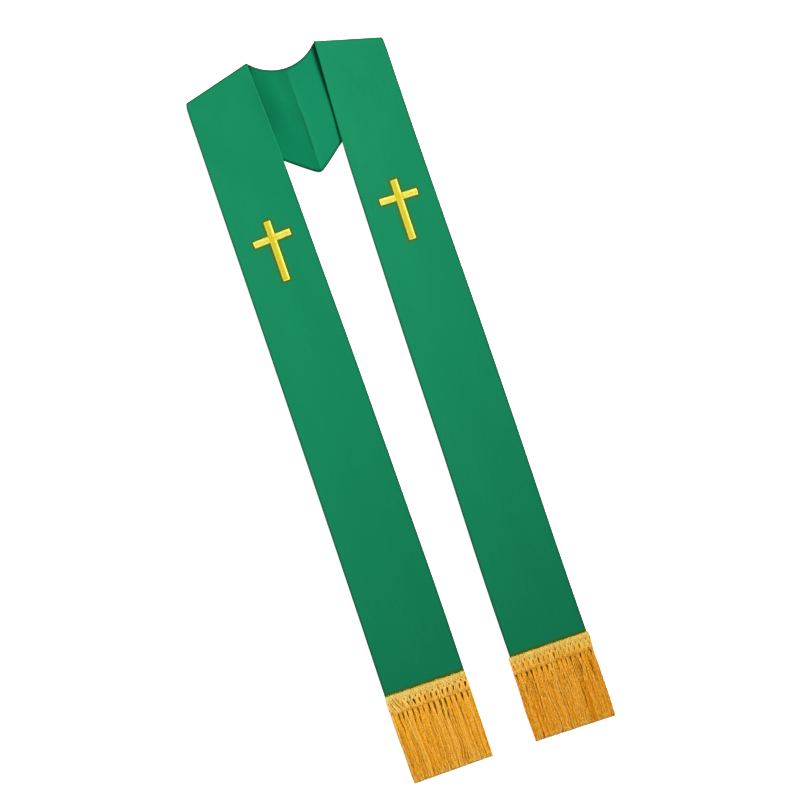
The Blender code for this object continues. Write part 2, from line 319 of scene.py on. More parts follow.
def lower_edge(half, share):
    """(out, drop) on the back's lower edge, from the shoulder fold to the point at the seam."""
    shoulder = np.array((half.shoulder_out, half.shoulder_drop))
    tip = np.array((0.0, TIP_DROP + TIP_ROUND))
    handle_a = shoulder + SHOULDER_PULL * np.array((-cos(SHOULDER_SLOPE), sin(SHOULDER_SLOPE)))
    handle_b = tip - TIP_PULL * np.array((-cos(TIP_SLOPE), sin(TIP_SLOPE)))
    rest = 1 - share
    place = (
        rest**3 * shoulder
        + 3 * rest**2 * share * handle_a
        + 3 * rest * share**2 * handle_b
        + share**3 * tip
    )
    side = place[0] * tan(TIP_SLOPE)
    return place - (0.0, hypot(TIP_ROUND, side) - side)


def back_place(half, share, across):
    """(out, drop) in the back, from the fold at share 0 to the seam at share 1."""
    lower = lower_edge(half, share * mix(FAN_START, 1, share))
    return mix(neck_edge(half, share), lower, across)


def front_place(half, reach, across):
    """(out, drop) in the front, at a distance from the shoulder fold."""
    hem = half.heading_drop + HEADING_ON_CLOTH
    inner_drop = reach - half.neck_rise * (1 - reach / hem)
    outer_drop = half.shoulder_drop + reach * (1 - half.shoulder_drop / hem)
    inner = np.array((smooth_line(half.edges, inner_drop, 1), inner_drop))
    outer = np.array((smooth_line(half.edges, outer_drop, 2), outer_drop))
    return mix(inner, outer, across)


def past_back(half, place):
    """How far below the back's lower edge, which the front passes over, places lie."""
    line = np.array([lower_edge(half, k / 60) for k in range(61)])[::-1]
    return place[..., 1] - np.interp(place[..., 0], *line.T)


def crease_lift(half, panel, place):
    """How far the creases of a panel lift its cloth off what it lies on."""
    lift = np.zeros(place.shape[:-1])
    for crease in half.creases:
        if crease.panel == panel:
            out, drop = place[..., 0] - crease.out, place[..., 1] - crease.drop
            turn = radians(crease.turn)
            along = (drop * cos(turn) + out * sin(turn)) / crease.long
            aside = (out * cos(turn) - drop * sin(turn)) / crease.wide
            lift += crease.rise * np.exp(-(along**2) - aside**2)
    return lift


EDGE_CURL = 2.2  # the stiff pressed edges stand this far off what the front lies on
CURL_WIDTH = 70.0


def front_lift(half, place):
    """Creases, and edges that curl up a little except where the fringe holds the hem flat."""
    drops, *sides = zip(*half.edges)
    inner, outer = (np.interp(place[..., 1], drops, side) for side in sides)
    from_edge = np.minimum(place[..., 0] - inner, outer - place[..., 0])
    hem = half.heading_drop + HEADING_ON_CLOTH
    held = fall((hem - place[..., 1]) / 150)
    curl = EDGE_CURL * (1 - np.clip(from_edge / CURL_WIDTH, 0, 1)) ** 2
    return (crease_lift(half, "front", place) + curl) * (1 - held)


SEAM_TENT = 2.4  # the pressed seam keeps the back standing off the floor like a low tent
TENT_WIDTH = 62.0


def back_lift(half, place):
    """Creases, the low tent along the seam, and the seam's own ridge."""
    from_neck = 1 - fall((place[..., 1] - NECK_DROP) / 70)
    tent = SEAM_TENT * mix(0.45, 1, from_neck) * (1 - np.clip(place[..., 0] / TENT_WIDTH, 0, 1)) ** 1.3
    ridge = half.seam_ridge * from_neck * fall(place[..., 0] / 7)
    return crease_lift(half, "back", place) + tent + ridge


PAST_SHADE = 4  # added to a way in from a pressed edge, this takes a place out of its shade
SEAM_SHADE_TO = 168


def painted_shade_on_back(half, place):
    """As a way in from a pressed edge: the painted shade beside the seam and the neck folds of the back.

    The seam's line runs from below the neck to above the point, and on the right only lower down.
    The neck's shade lies beside the front, and is deepest in the corner between the two.
    """
    out, drop = place[..., 0], place[..., 1]
    above_line = fall((drop - half.seam_shade_from) / 45)
    below_line = 1 - fall((drop - SEAM_SHADE_TO) / 28)
    seam = half.seam_shade + out + PAST_SHADE * above_line + PAST_SHADE * below_line
    below_neck = 1 - fall((drop - half.neck_shade_to) / 40)
    neck = np.interp(out, *zip(*half.neck_shade)) + PAST_SHADE * below_neck
    corner = half.corner_shade + (NECK_HALF_WIDTH - out + 0.45 * drop) / 3
    return np.minimum(np.minimum(seam, neck), corner)


# Distances along a half, and in from its edges, at which its cloth gets a line of points.
SEAM_STEPS = np.array((0, 0.003, 0.008, 0.015, 0.025, 0.04, 0.06, 0.085))
BACK_STEPS = np.concatenate((1 - SEAM_STEPS, np.linspace(0.885, 0.02, 36)))
LOOP_STEPS = 18
NEAR_FOLD_STEPS = np.array((1.5, 3.5, 6, 9, 13))
FRONT_STEP = 4.5
EDGE_STEPS = np.array((0.0, 0.25, 0.6, 1.1, 1.8, 2.8, 4.5))
HEM_STEPS = EDGE_STEPS[-2::-1]
ACROSS_STEP = 4.0
FAR_OFF = 1e3


def middle_surface(half, inset):
    """(out, drop) and points in mm, in lines from seam to hem by places across, and their ways in.

    These are the ways in from the pressed edges and from the seam, and a way in that sets the painted
    shade along the edges, the shoulder fold and the seam, and beside the neck folds.
    """
    width = half.shoulder_out - NECK_HALF_WIDTH
    middle_steps = np.arange(EDGE_STEPS[-1] + ACROSS_STEP, width / 2 - inset, ACROSS_STEP)
    from_edge = np.concatenate((EDGE_STEPS, middle_steps, [width / 2 - inset]))
    from_edge = np.concatenate((from_edge, from_edge[-2::-1]))
    count = len(from_edge)
    across = (inset + from_edge) / width
    across[count // 2 + 1 :] = 1 - across[count // 2 + 1 :]
    hem = half.heading_drop + HEADING_ON_CLOTH - inset
    slack = (1 - across) ** 2
    loop = mix(SHOULDER_LOOP, half.neck_loop, slack)
    length_of_fall = mix(FALL, half.neck_fall, slack)
    turn = loop + MIDDLE

    def on_back(shares):
        return np.array([back_place(half, *pair) for pair in zip(shares, across)])

    def on_front(reaches):
        return np.array([front_place(half, *pair) for pair in zip(reaches, across)])

    nothing, far_off = np.zeros(count), np.full(count, FAR_OFF)
    lines = []
    for step in BACK_STEPS:
        place = on_back(mix(turn / FAN, 1, step))
        height = MIDDLE + back_lift(half, place) * fall(1.15 - 4 * step)
        painted_shade_way = np.minimum(loop + FAN * step, painted_shade_on_back(half, place))
        lines.append((place, height, place[:, 0], far_off, painted_shade_way, nothing))
    for k in range(LOOP_STEPS + 1):
        angle = pi * k / LOOP_STEPS
        reach = turn - loop * sin(angle)
        place = mix(on_back(reach / FAN), on_front(reach), k / LOOP_STEPS)
        height = MIDDLE + loop * (1 - cos(angle))
        lines.append((place, height, far_off, far_off, loop * (1 - sin(angle)), nothing))
    far_steps = np.arange(17.0, hem - EDGE_STEPS[-1] - 2, FRONT_STEP)
    for step in (*NEAR_FOLD_STEPS, *far_steps, *(hem - HEM_STEPS)):
        reach = turn + step * (hem - turn) / hem
        place = on_front(reach)
        past = past_back(half, place)
        layers = 2 * LAYER * fall(past / LAYER_FALL)
        arch = (2 * loop - 2 * LAYER) * fall((reach - turn) / length_of_fall)
        lift = front_lift(half, place) * (1 - fall(step / mix(FALL, half.curl_from, slack)))
        lift = lift + back_lift(half, place) * fall(past / 25) * (1 - fall(step / 40))
        inner_way = np.where(across < 0.5, 8 * fall(past / 20), 0)
        height = MIDDLE + layers + arch + lift
        lines.append((place, height, far_off, nothing + hem - step, reach - turn + loop, inner_way))
    places, heights, seam_ways, hem_ways, painted_shade_ways, inner_ways = map(np.array, zip(*lines))
    out = places[..., 0] + GAP / 2 - half.seam_tuck * fall(places[..., 0] / 5)
    points = np.stack((SEAM_X + half.sign * out, LENGTH / 2 - places[..., 1], heights), axis=-1)
    edge_ways = np.minimum(from_edge, hem_ways)
    painted_shade_ways = np.minimum(edge_ways + inner_ways, painted_shade_ways)
    return places, points, edge_ways, seam_ways, painted_shade_ways


def unit(vectors):
    return vectors / np.linalg.norm(vectors, axis=-1, keepdims=True)


def steps_along(points, axis):
    """The distances between points that follow each other, 0 for the first."""
    first = np.take(points, [0], axis=axis)
    return np.linalg.norm(np.diff(points, axis=axis, prepend=first), axis=-1)


def tube_walls(index):
    """Four-sided faces between rings of points, from their numbers by ring and place round it."""
    following = np.roll(index, -1, axis=-1)
    low, high = (..., slice(None, -1), slice(None)), (..., slice(1, None), slice(None))
    walls = (index[low], following[low], following[high], index[high])
    return np.stack(walls, axis=-1).reshape(-1, 4)


EDGE_ROUND = 1.7  # a pressed edge rounds off over this width
SEAM_ROUND = 0.9
SHELL_INSIDE = 0.4  # the inner face of a layer, off the surface between the two layers
EDGE_OFFSET = 0.12


def rounded(way, radius):
    return np.sqrt(1 - (1 - np.clip(way / radius, 0, 1)) ** 2)


def shell(half, inset, side, finish, slot):
    """A thin layer of cloth: side 1 is the outer cloth, and -1 its lining."""
    places, points, edge_way, seam_way, painted_shade_way = middle_surface(half, inset)
    normals = unit(-half.sign * np.cross(np.gradient(points, axis=1), np.gradient(points, axis=0)))
    full = rounded(edge_way, EDGE_ROUND) * mix(0.8, 1, rounded(seam_way, SEAM_ROUND))
    far = EDGE_OFFSET + (MIDDLE - EDGE_OFFSET) * full
    near = np.minimum(SHELL_INSIDE, far - 0.06)
    outside = points + side * far[..., None] * normals
    inside = points + side * near[..., None] * normals
    rings = np.concatenate((outside, inside[:, ::-1]), axis=1)
    rows, count = points.shape[:2]
    index = np.arange(rows * 2 * count).reshape(rows, 2 * count)
    faces = [tube_walls(index)]
    k = np.arange(count - 1)
    for ring, way in ((index[0], -1), (index[-1], 1)):
        end = np.stack((ring[k], ring[k + 1], ring[-k - 2], ring[-k - 1]), axis=-1)
        faces.append(end[:, ::way])
    lay_u = np.cumsum(steps_along(points, 1), axis=1)
    lay_v = np.cumsum(steps_along(points, 0), axis=0)[:, count // 2, None] + 0 * lay_u
    way = half.cross_drop - places[..., 1]
    aside = half.sign * (places[..., 0] - half.cross_out) + way * tan(half.upright_lean)
    ways = {
        "lay": np.stack((lay_u, lay_v, painted_shade_way), axis=-1),
        "from_cross": np.stack((aside, way, way - aside * tan(half.bar_lean)), axis=-1),
        "from_fringe": half.heading_drop - places[..., 1],
    }
    for title, values in ways.items():
        on_both = np.concatenate((values, values[:, ::-1]), axis=1)
        ways[title] = on_both.reshape(index.size, *values.shape[2:])
    return piece(f"{slot}_{half.name}", rings.reshape(-1, 3), faces, finish, slot, **ways)


def facing_out(points, faces):
    """The same faces, turned so that a closed mesh has its outside out."""
    volume = 0.0
    for group in faces:
        corners = points[group]
        for k in range(1, group.shape[1] - 1):
            turned = np.cross(corners[:, k], corners[:, k + 1])
            volume += np.einsum("ij,ij->", corners[:, 0], turned)
    return faces if volume > 0 else [group[:, ::-1] for group in faces]


scene = bpy.context.scene


def new_object(name, data):
    made = bpy.data.objects.new(name, data)
    scene.collection.objects.link(made)
    return made


def piece(name, points, faces, finish, slot, **places):
    """A smooth-shaded closed mesh from points in mm, riding on the one body.

    places are "lay", the place in the unrolled cloth and the way in from an edge or fold, which sets
    the cloth's painted shade; "from_cross", the way across and up from the middle of the cross, and up
    from its leaning bar; "from_fringe", the way up from the top of the fringe, which two set the
    painted shade and painted yellow reflection beside the thread; "tone", how light a thread is
    coloured, by its dye and by painted shade and highlight; and "ply", the cosine and sine of a point's
    place round its thread, and the way along it.
    """
    mesh = bpy.data.meshes.new(name)
    faces = facing_out(points, faces)
    mesh.from_pydata((points * MM).tolist(), [], [f for group in faces for f in group.tolist()])
    for title, values in places.items():
        kind, field = ("FLOAT", "value") if values.ndim == 1 else ("FLOAT_VECTOR", "vector")
        attribute = mesh.attributes.new(title, kind, "POINT")
        attribute.data.foreach_set(field, values.astype(np.float32).ravel())
    mesh.materials.append(finish)
    mesh.shade_smooth()
    made = new_object(name, mesh)
    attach(made, "root")
    return made


# Thread and cord


SIDES = 5  # of a round thread


def threads(paths, radius, tone):
    """Closed round threads along paths that all have the same number of points."""
    count, long = paths.shape[:2]
    along = unit(np.gradient(paths, axis=1))
    aside = unit(np.cross(along, (0.0, 0.0, 1.0)))
    over = np.cross(aside, along)
    turn = tau * np.arange(SIDES)[:, None] / SIDES
    ring = aside[:, :, None] * np.cos(turn) + over[:, :, None] * np.sin(turn)
    radius = np.broadcast_to(radius, (count, long))
    points = paths[:, :, None] + radius[..., None, None] * ring
    steps = steps_along(paths, 1)
    steps[:, 0] = np.random.default_rng(count).uniform(0, 40, count)  # no two twists in step
    way = np.broadcast_to(np.cumsum(steps, axis=1)[..., None], (count, long, SIDES))
    round_it = np.broadcast_to(turn[:, 0], way.shape)
    ply = np.stack((np.cos(round_it), np.sin(round_it), way), axis=-1)
    tone = np.broadcast_to(np.broadcast_to(tone, (count, long))[..., None], way.shape)
    index = np.arange(way.size).reshape(way.shape)
    ends = np.concatenate((index[:, 0, ::-1], index[:, -1]))
    return points.reshape(-1, 3), tube_walls(index), ends, tone.ravel(), ply.reshape(-1, 3)


def thread_piece(name, bundles, finish, slot):
    """One piece from several bundles of threads."""
    starts = np.cumsum([0] + [len(bundle[0]) for bundle in bundles])
    points, tone, ply = (np.concatenate([bundle[k] for bundle in bundles]) for k in (0, 3, 4))
    walls, ends = ([bundle[k] + start for bundle, start in zip(bundles, starts)] for k in (1, 2))
    return piece(name, points, walls + ends, finish, slot, tone=tone, ply=ply)


def front_top(half, place):
    """The height of the outer cloth's face on a front, clear of the shoulder fold."""
    layers = 2 * LAYER * fall(past_back(half, place) / LAYER_FALL)
    return 2 * MIDDLE + layers + front_lift(half, place)


STITCH_PITCH = 0.42
STITCH_RADIUS = 0.26
STITCH_POINTS = 9
STITCH_DOME = 0.95  # padded satin stitch stands this high on the cloth
PADDING_RADIUS = 0.6
PADDING_RISE = 0.12
PADDING_PITCH = 1.5


def satin_bar(half, uneven, ends, width, lean, middle_tone, painted_highlight_tone, crossing, tucked):
    """Satin stitches across a bar that runs up the cross, or along it if lean turns it so.

    Their tone is painted paler along the bar's sides and at its free ends, but not where the bars
    cross: a painted highlight.
    """
    low, high = ends
    ways = np.arange(low, high, STITCH_PITCH)[:, None]
    share = np.linspace(0, 1, STITCH_POINTS)[None]
    across = (share - 0.5) * (width + uneven.normal(0, 0.22, ways.shape))
    across = across + uneven.normal(0, 0.08, ways.shape)
    slant = 0.25 * (share - 0.5)
    edge = np.abs(2 * share - 1)
    dome = STITCH_DOME * (1 - edge**3.2) - 0.22 * edge**8
    dome = dome * (1 - tucked * np.exp(-(((ways - crossing) / 1.2) ** 2)))
    from_end = np.minimum(high - ways, ways - low)
    at_end = 0.8 * fall(from_end / 2.4) * (np.abs(ways - crossing) > CROSS_UPRIGHT / 2)
    beside_crossing = np.exp(-(((ways - crossing) / 5.5) ** 2))
    # Painted highlight: paler tone along the sides and at the free ends.
    pale = np.maximum(edge**1.8 * (1 - 0.75 * beside_crossing), at_end)
    tone = mix(middle_tone, painted_highlight_tone, pale) + uneven.normal(0, 0.07, ways.shape)
    stitches = on_cross(half, across, ways + slant, dome, lean)
    long = np.linspace(low + 0.8, high - 0.8, 30)[None]
    rows = np.linspace(-0.5, 0.5, round(width / PADDING_PITCH))[:, None] * (width - 2.4)
    padding = on_cross(half, rows, long, PADDING_RISE, lean)
    return threads(stitches, STITCH_RADIUS, tone), threads(padding, PADDING_RADIUS, middle_tone)


def on_cross(half, across, way, rise, lean):
    """Points in mm from places on a bar of the cross, which leans out of true by an angle."""
    aside = half.cross_out + half.sign * (across * cos(lean) - way * sin(lean))
    drop = half.cross_drop - across * sin(lean) - way * cos(lean)
    aside, drop, rise = np.broadcast_arrays(aside, drop, rise)
    height = front_top(half, np.stack((aside, drop), axis=-1)) + rise
    return np.stack((SEAM_X + half.sign * (aside + GAP / 2), LENGTH / 2 - drop, height), axis=-1)


def cross(half, finish):
    uneven = np.random.default_rng(11 + half.sign)
    reach, inside = CROSS_WIDTH / 2, CROSS_UPRIGHT / 2 - 0.7
    # The arms' stitches run across the upright's, and their tone is painted lighter and more lemon: a
    # painted sheen.
    arm = (CROSS_BAR, half.bar_lean - pi / 2, 0.5, 1.35)
    ends = (CROSS_BAR_DROP - CROSS_HEIGHT, CROSS_BAR_DROP)
    bars = (
        (ends, CROSS_UPRIGHT, half.upright_lean, 0.2, 1.3, 0.0, 0.0),
        ((-reach, -inside), *arm, -inside, 0.45),
        ((inside, reach), *arm, inside, 0.45),
    )
    bundles = [bundle for bar in bars for bundle in satin_bar(half, uneven, *bar)]
    made = thread_piece(f"cross_stitching_{half.name}", bundles, finish, "embroidery_thread")
    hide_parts(f"cross_{half.name}")
    return made


FRINGE_LOOPS = 1.6  # the heading's loops stand this far above its top


def heading_width(half):
    return half.heading_outer - half.heading_inner


def on_fringe(half, along, below, height):
    """Points in mm from places on a fringe: along its heading, and below the heading's top."""
    heading, width = half.heading, heading_width(half)
    inner, outer = (np.interp(below, *zip(*side)) for side in (heading.inner, heading.outer))
    out = half.heading_inner + inner + along * (1 - (inner + outer) / width)
    x = SEAM_X + half.sign * (out + GAP / 2)
    y = LENGTH / 2 - half.heading_drop - below
    return np.stack(np.broadcast_arrays(x, y, height), axis=-1)


def slit(below, top, widest, bottom):
    """How open a slit is, from 0 to 1: it opens fast and closes slowly."""
    return (1 - fall((below - top) / (widest - top))) * fall((below - widest) / (bottom - widest)) ** 0.4


def bunch_edges(half, slits):
    """Where the bunches that a row of slits parts begin and end along the heading."""
    return (0.0, *(row.along for row in slits), heading_width(half))


def along_row(half, cord, slits):
    """Along the heading, for a place that is counted in bunches and is whole at a slit."""
    edges = bunch_edges(half, slits)
    return np.interp(cord, np.arange(len(edges)), edges)


def stood_aside(cord, slits, how_open):
    """How far cords stand aside from the slit nearest to them."""
    openings = np.array((0, *(row.opening for row in slits), 0))
    nearest = np.round(cord)
    from_slit = cord - nearest
    return openings[nearest.astype(int)] * np.sign(from_slit) * (0.5 - np.abs(from_slit)) * how_open


def cords_across(half, uneven, count, top, bottom, slope, arch, radius, tone, unlike):
    """Short slanting cords side by side along the heading."""
    width = heading_width(half)
    start = (np.arange(count) + 0.5)[:, None] * width / count
    share = np.linspace(0, 1, 6)[None]
    below = mix(top, bottom, share) + uneven.normal(0, 0.3, start.shape)
    aside = (slope(start / width) + uneven.normal(0, 0.16, start.shape)) * (below - (top + bottom) / 2)
    bow = uneven.normal(0, 0.5, start.shape) * np.sin(pi * share)
    along = np.clip(start + aside + bow, 0.2, width - 0.2)
    height = arch + uneven.normal(0, 0.15, start.shape) + 0.45 * np.sin(pi * share)
    tones = tone + uneven.normal(0, unlike, start.shape)
    return threads(on_fringe(half, along, below, height), radius, tones)


BUNCH_CORDS = 8
TAPE_CORDS = 112
LOOPS = 34
LOOP_HALF_WIDTH = 1.7
BRAID_PITCH = 11.5
BRAID_BOTTOM = 17
SLITS_MIDDLE = 21
CORDS_END = 32.0
BAND_TOP, BAND_HEIGHT = 26.8, 6.2
ASKEW_CORDS = 10


def both_ways(share):
    """Every other cord slants one way, and the rest the other."""
    return np.where(np.arange(len(share))[:, None] % 2, 0.5, -0.5)


def fringe_heading(half, finish):
    """Bunches of cord, looped along the top, braided, and drawn apart into a row of slits."""
    heading, width = half.heading, heading_width(half)
    bunches = len(heading.upper_slits) + 1
    uneven = np.random.default_rng(23 + half.sign)

    # Cords behind the rest: along the tape that is sewn to the hem, and behind the slits, both coloured
    # darker as painted shade, the ones behind the slits much darker.
    below = np.linspace(1.2, 10.5, 5)[None]
    tape = np.linspace(0.6, width - 0.6, TAPE_CORDS)[:, None]
    bundles = [threads(on_fringe(half, tape, below, 2.85), 0.72, 0.3)]
    behind = np.linspace(0.5, width - 0.5, BUNCH_CORDS * bunches)[:, None]
    below = np.linspace(9.5, 36 - heading.raised, 8)[None]
    height = np.interp(below, (9, 18, 21, 34), (2.6, 2.6, 1.6, 1.1))
    bundles.append(threads(on_fringe(half, behind, below, height), 0.75, -0.6))

    # The bunches: two sets of cords that cross each other in the braid and then hang side by side.
    cord = (np.arange(BUNCH_CORDS * bunches) + 0.5)[:, None] / BUNCH_CORDS
    below = np.linspace(0.4, CORDS_END - heading.raised, 34)[None]
    down = below + heading.raised
    along = mix(
        along_row(half, cord, heading.upper_slits),
        along_row(half, cord, heading.lower_slits),
        1 - fall((down - 24) / 11),
    )
    from_slits = down - SLITS_MIDDLE
    lean = np.interp(cord, np.linspace(0, bunches, len(heading.leans)), heading.leans)
    along = along + lean * from_slits / 10 * fall(np.abs(from_slits) / 10)
    along = along + stood_aside(cord, heading.upper_slits, slit(down, 16.4, 18.2, 28.5))
    from_middle = cord - np.floor(cord) - 0.5
    hole = 2.8 * slit(down, 11.0, 12.4, 15.6)
    along = along + hole * np.sign(from_middle) * (0.5 - np.abs(from_middle))
    in_braid = fall((down - 7) / 5)
    way = np.where(np.arange(BUNCH_CORDS * bunches) % 2, 1, -1)[:, None]
    braid = tau * (BRAID_BOTTOM - below) / BRAID_PITCH
    along = along + way * 1.3 * np.sin(braid) * in_braid + uneven.normal(0, 0.22, cord.shape)
    height = 3.25 + 0.4 * way * np.cos(braid) * in_braid + 0.25 * fall(np.abs(from_slits) / 7)
    height = height + uneven.normal(0, 0.12, cord.shape)
    tone = np.interp(down, (0, 12, 18, 32), (1.0, 0.9, 0.68, 0.62))
    tone = tone + uneven.normal(0, 0.16, cord.shape) + 0.1 * np.sin(below / 2.1 + 21 * cord)
    bundles.append(threads(on_fringe(half, np.clip(along, 0, width), below, height), 0.7, tone))

    # Short cords over them: two rows in the braid, and the band between the two rows of slits.
    def as_bunches(share):
        return 0.1 * np.interp(share, np.linspace(0, 1, len(heading.leans)), heading.leans)

    band = BAND_TOP - heading.raised
    bundles += [
        cords_across(half, uneven, 64, 0.8, 7.6, both_ways, 3.85, 0.68, 0.96, 0.16),
        cords_across(half, uneven, 52, 5.0, 10.8, both_ways, 3.8, 0.6, 0.9, 0.2),
        cords_across(half, uneven, 92, band, band + BAND_HEIGHT, as_bunches, 3.75, 0.6, 0.55, 0.3),
    ]
    loops = (np.arange(LOOPS) + 0.5)[:, None] * width / LOOPS
    angle = np.linspace(0, pi, 9)[None]
    loop_rise = 2.2 + uneven.normal(0, 0.5, loops.shape)
    along = loops + LOOP_HALF_WIDTH * np.cos(angle) + uneven.normal(0, 0.35, loops.shape)
    paths = on_fringe(half, along, FRINGE_LOOPS - loop_rise * np.sin(angle), 3.4)
    bundles.append(threads(paths, 0.46, 0.8 + uneven.normal(0, 0.2, loops.shape)))
    if half.sign < 0:
        # At its outer end this fringe was pulled askew, and its cords run slanting inward.
        start = np.arange(ASKEW_CORDS)[:, None]
        share = np.linspace(0, 1, 16)[None]
        along = width - 1.4 - 2.0 * start - 9.0 * share**1.2 + uneven.normal(0, 0.3, start.shape)
        below = mix(9.5 - 0.3 * start, 35.5 - 1.3 * start, share)
        below = below + uneven.normal(0, 0.8, start.shape)
        height = 3.9 + 0.3 * np.sin(pi * share) + 0.25 * (start % 2)
        tones = np.where(start % 3 == 2, 0.05, 0.8) + uneven.normal(0, 0.12, start.shape)
        bundles.append(threads(on_fringe(half, along, below, height), 0.6, tones))
    made = thread_piece(f"fringe_heading_{half.name}", bundles, finish, "fringe_thread")
    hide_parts(f"fringe_{half.name}")
    return made


TwistedEnd = namedtuple("TwistedEnd", "along top length lean tone")
TWISTED_ENDS = table(
    TwistedEnd,
    (44, 74, 20, 0.2, 0.9),
    (65, 67, 9, 0.1, 0.85),
    (83.5, 74, 16, 0.05, 0.98),
    (78, 79, 9, -0.35, 0.85),
    (114.7, 69, 9, -0.12, 0.95),
    (130, 76, 11, -0.1, 0.85),
    (139, 79, 6, 0.2, 0.9),
    (27, 88, 10, 0.15, 0.8),
    (98, 52, 9, -0.2, 0.8),
)
TWIST_PITCH = 5


def twisted_ends(half):
    """Loose ends that have twisted back on themselves, on the untidier fringe."""
    uneven = np.random.default_rng(61)
    share = np.linspace(0, 1, 30)[None]
    middle, top, length, lean, tone = np.array(TWISTED_ENDS).T[:, :, None]
    bundles = []
    for ply in (0, pi):
        turn = tau * share * length / TWIST_PITCH + ply
        below = top + length * share
        along = middle + 0.6 * np.cos(turn) + lean * length * (share - 0.5)
        along = along + uneven.normal(0, 0.3, middle.shape) * np.sin(5 * share)
        height = 4.3 + 0.5 * np.sin(turn)
        bundles.append(threads(on_fringe(half, along, below, height), 0.58, tone))
    return bundles


# Layers of strands: their random seed; how many, and the points of each; their height at the root
# and at rest, and how deep they lie over each other; their radius; how much of the slits, of the
# locks and of a loose drift they show; how they sway; how raggedly they are cut; their tone, darker
# in the lower layers as painted shade; and how much darker it is near the heading, a painted shade.
Layer = namedtuple(
    "Layer", "name seed count points root rest deep radius opening locks loose sway ragged tone shade"
)
LAYERS = table(
    Layer,
    ("upper", 31, 252, 40, 3.0, 2.1, 1.3, 0.46, 1.0, 0.22, 1.0, 1.0, 1.8, 0.62, 0.06),
    ("lower", 41, 210, 28, 2.0, 1.4, 0.8, 0.48, 0.8, 0.2, 0.6, 1.0, 1.2, 0.4, 0.4),
    ("under", 51, 210, 14, 1.2, 0.66, 0.2, 0.62, 0.0, 0.0, 0.1, 0.3, 0.3, 0.2, 0.8),
)
LOCKS = 31


def fringe_strands(half, layer, finish):
    """One layer of strands, from under the heading's lower edge to their cut tips."""
    heading, width = half.heading, heading_width(half)
    uneven = np.random.default_rng(layer.seed + half.sign)
    shape = (layer.count, 1)
    start = (np.arange(layer.count)[:, None] + 0.5) * width / layer.count
    start = start + uneven.normal(0, 0.12, shape)
    tip = LENGTH - half.heading_drop - heading.cut * (1 - start / width)
    tip = tip - layer.ragged * np.abs(uneven.normal(0, 1.0, shape))
    tip = tip + np.where(uneven.uniform(0, 1, shape) > 0.95, layer.ragged, 0.0)
    share = np.linspace(0, 1, layer.points)[None] ** 1.15
    below = mix(31.0 - heading.raised, tip, share)
    down = np.clip((below - 36) / 115, 0, 1)

    # Strands gather into locks of many widths, which drift and lean their own way.
    edges = np.sort(uneven.uniform(0, width, LOCKS - 1))
    edges = np.concatenate(([0.0], edges, [width]))
    lock = np.clip(np.searchsorted(edges, start[:, 0]) - 1, 0, LOCKS - 1)
    lock_middle = (edges[lock] + edges[lock + 1])[:, None] / 2
    lock_drift = uneven.normal(0, 1.4, LOCKS)[lock][:, None]
    drawn = layer.locks * (1 - fall((below - 44) / 40))
    at = mix(start, lock_middle, drawn)
    bunches = bunch_edges(half, heading.lower_slits)
    cord = np.interp(start, bunches, np.arange(len(bunches)))
    lower = below + heading.raised
    opening = slit(lower, 32.2, 34.2, 35 + heading.slit_length)
    opening = opening + 0.25 * slit(lower, 36, 44, 40 + 2 * heading.slit_length)
    at = at + stood_aside(cord, heading.lower_slits, layer.opening * opening)
    for part in heading.partings:
        near = np.exp(-1.2 * ((below - part.below) / part.half_length) ** 2)
        aside = start - part.along
        at = at + part.lean * (below - part.below) * near * np.exp(-((aside / 8) ** 2))
        at = at + layer.opening * part.opening * near * np.sign(aside) * np.exp(-np.abs(aside) / 3)
    wave_length = uneven.uniform(7, 20, shape)
    crimp = 0.42 * heading.untidy * np.sin(tau * (below / wave_length + uneven.uniform(0, 1, shape)))
    sway = 0.7 * np.sin(tau * (below / 92 + start / 71) + half.sign) + 0.6 * np.sin(
        tau * (below / 37 - start / 29) + 1
    )
    inside = 1 - np.abs(2 * start / width - 1) ** 6
    drift = lock_drift + uneven.normal(0, 0.9, shape)
    sway = sway * inside * down + layer.loose * drift * down**1.2 * np.clip(inside + 0.25, 0, 1)
    along = np.clip(at + layer.sway * (sway + crimp * down**0.5), -0.6, width + 0.4)

    level = uneven.uniform(0, 1, shape)
    height = np.interp(below, (31, 36, 48, 155), (0.0, 0.25, 0.85, 1.0))
    height = mix(layer.root, layer.rest + layer.deep * level, height)
    height = height + 0.22 * np.sin(tau * (below / 19 + uneven.uniform(0, 1, shape))) * down
    height = np.maximum(height, 0.6)

    # Near the heading they are the most uneven in tone, and again at the tips.
    unlike = 0.14 + 0.11 * fall((below - 62) / 36) + 0.06 * fall((tip - below - 6) / 14)
    spots = np.sin(tau * (below / (0.4 * wave_length) + uneven.uniform(0, 1, shape)))
    tone = layer.tone + unlike * heading.untidy * (uneven.normal(0, 1, shape) + 1.4 * spots)
    tone = tone + uneven.normal(0, 0.05, LOCKS)[lock][:, None]
    # Painted shade just below the heading, deepest in the lower layers.
    tone = tone - layer.shade * fall((below - 50) / 26)
    bright_tip = uneven.uniform(0, 1, shape) ** 2
    tone = np.minimum(tone, 0.88) + (0.1 + bright_tip) * fall((tip - below) / (5 + 10 * bright_tip))
    tone = np.minimum(tone, 1.02)
    thin = np.interp(share[0], (0, 0.97, 1), (1, 1, 0.6))
    bundles = [threads(on_fringe(half, along, below, height), layer.radius * thin, tone)]
    if layer.name == "upper" and half.sign > 0:
        bundles += twisted_ends(half)
    name = f"fringe_strands_{layer.name}_{half.name}"
    return thread_piece(name, bundles, finish, "fringe_thread")


# Finishes


